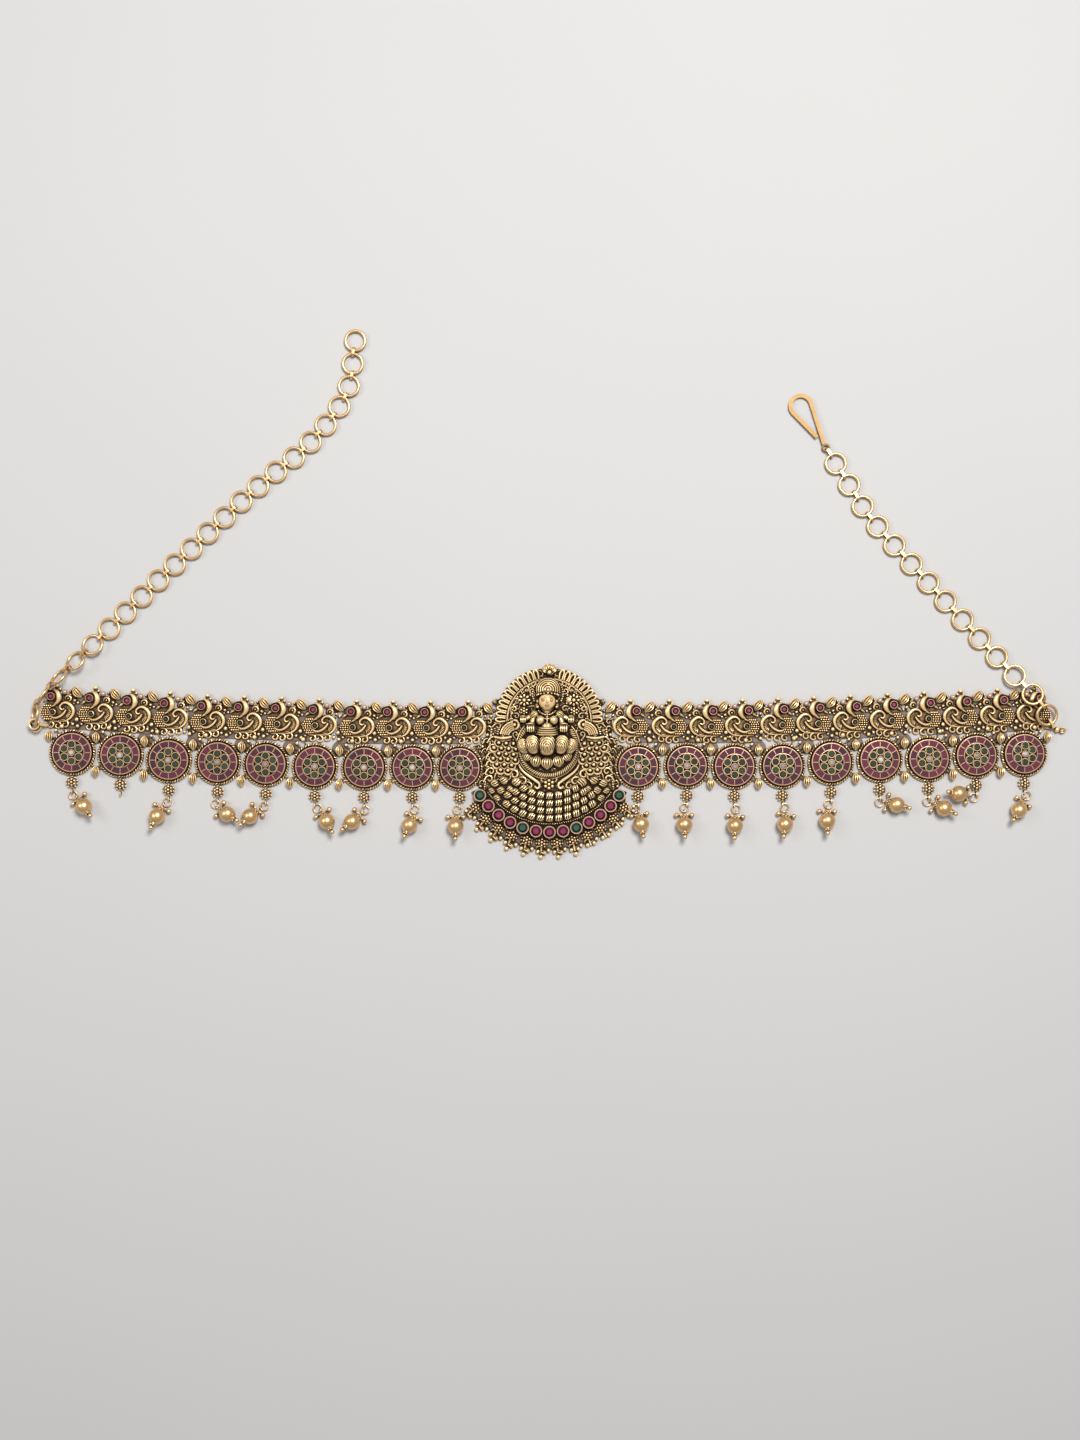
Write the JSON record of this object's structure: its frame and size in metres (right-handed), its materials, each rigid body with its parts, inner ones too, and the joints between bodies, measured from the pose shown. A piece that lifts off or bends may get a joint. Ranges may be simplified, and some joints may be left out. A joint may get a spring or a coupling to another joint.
{
  "type": "hip chain",
  "caption": "Jewelled hip chain laid flat: goddess plaque, stone-set medallions, peacocks and ball drops on a stiff front, ring chains with a hook and a ring that close it behind.",
  "frame": {"origin": "on the flat back of the centre plaque, midway between the two rows of medallions", "axes": "+X along the belt to the right as laid out, +Y up the plaque towards the chains, +Z out of the front, away from the surface that the belt lies on"},
  "size_m": [0.4265, 0.2134, 0.0092],
  "materials": {
    "antique_gold": "antique",
    "polished_gold": "polished",
    "ruby": "polished",
    "emerald": "polished"
  },
  "bodies": {
    "root": {"centre_plaque": "antique_gold", "plaque_rubies": "ruby", "plaque_emeralds": "emerald", "left_medallion_1": "antique_gold", "left_medallion_2": "antique_gold", "left_medallion_3": "antique_gold", "left_medallion_4": "antique_gold", "left_medallion_5": "antique_gold", "left_medallion_6": "antique_gold", "left_medallion_7": "antique_gold", "left_medallion_8": "antique_gold", "left_medallion_9": "antique_gold", "right_medallion_1": "antique_gold", "right_medallion_2": "antique_gold", "right_medallion_3": "antique_gold", "right_medallion_4": "antique_gold", "right_medallion_5": "antique_gold", "right_medallion_6": "antique_gold", "right_medallion_7": "antique_gold", "right_medallion_8": "antique_gold", "right_medallion_9": "antique_gold", "left_medallion_rubies": "ruby", "right_medallion_rubies": "ruby", "left_drop_1": "polished_gold", "left_drop_2": "polished_gold", "left_drop_3": "polished_gold", "left_drop_4": "polished_gold", "left_drop_5": "polished_gold", "left_drop_6": "polished_gold", "left_drop_7": "polished_gold", "left_drop_9": "polished_gold", "right_drop_1": "polished_gold", "right_drop_2": "polished_gold", "right_drop_3": "polished_gold", "right_drop_4": "polished_gold", "right_drop_5": "polished_gold", "right_drop_6": "polished_gold", "right_drop_7": "polished_gold", "right_drop_8": "polished_gold", "right_drop_9": "polished_gold", "left_jump_rings": "polished_gold", "right_jump_rings": "polished_gold", "left_hinge_rings": "antique_gold", "right_hinge_rings": "antique_gold", "left_peacocks_1": "antique_gold", "left_peacocks_2": "antique_gold", "left_peacocks_3": "antique_gold", "right_peacocks_1": "antique_gold", "right_peacocks_2": "antique_gold", "right_peacocks_3": "antique_gold", "peacock_rubies": "ruby", "peacock_emeralds": "emerald", "left_chain": "polished_gold", "end_ring": "polished_gold", "right_chain": "polished_gold", "clasp_hook": "polished_gold"}
  },
  "joints": []
}
